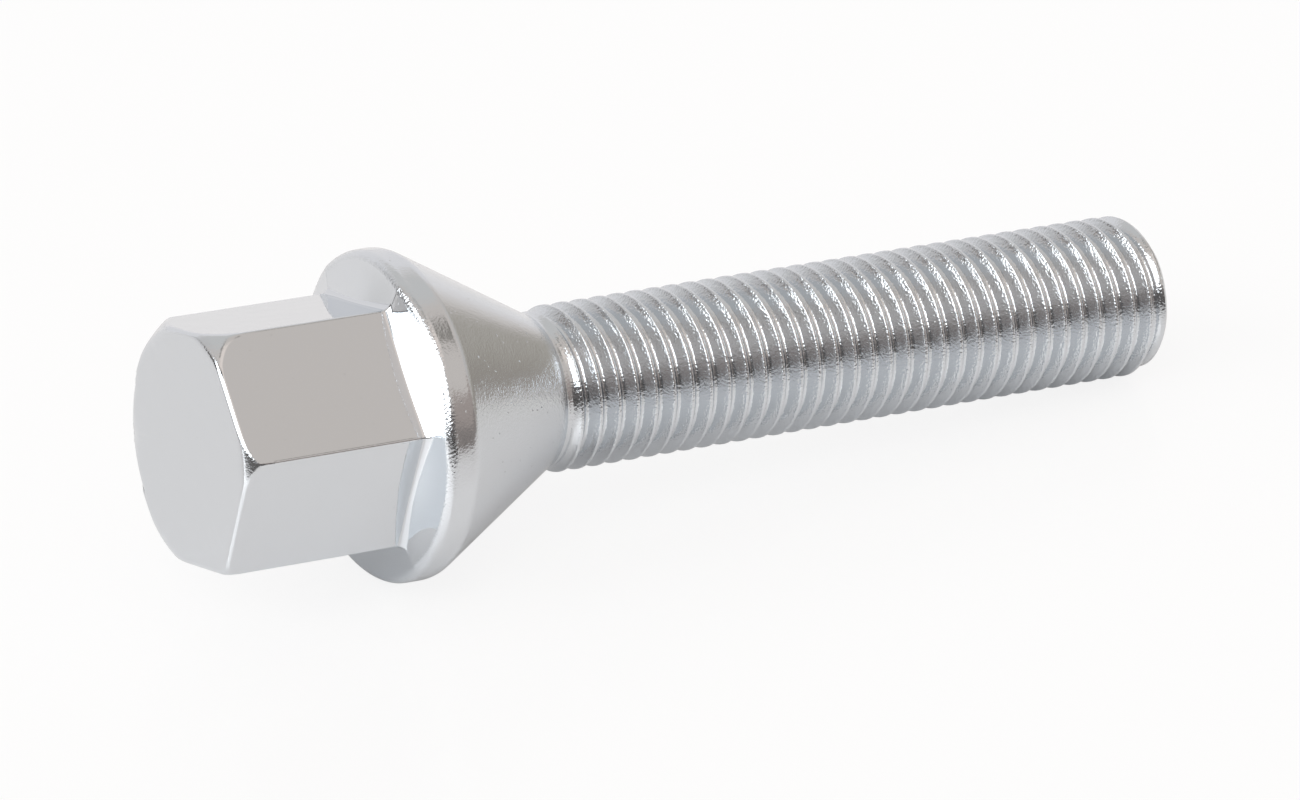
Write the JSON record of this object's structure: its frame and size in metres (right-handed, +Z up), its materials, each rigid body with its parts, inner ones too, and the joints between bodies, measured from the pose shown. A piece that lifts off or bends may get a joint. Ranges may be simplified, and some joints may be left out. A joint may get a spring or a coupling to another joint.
{
  "type": "extended wheel bolt",
  "caption": "Long steel wheel bolt with a tall hexagon head, a faceted collar, a 60 degree cone seat and a fine right-hand thread, chrome plated.",
  "frame": {"origin": "bottom centre of the bounding box of the bolt as it lies at rest on the rear of its collar rim and on its tip", "axes": "+Z up; +X from the hexagon head to the threaded tip, the bolt's own axis leaning 5.5 degrees down towards the tip"},
  "size_m": [0.0792, 0.0234, 0.0235],
  "materials": {
    "bright_plate": "bright plated steel, mirror-like on the hexagon and a little duller on the cone seat and the thread"
  },
  "bodies": {
    "root": {"wheel_bolt": "bright_plate"}
  },
  "joints": []
}
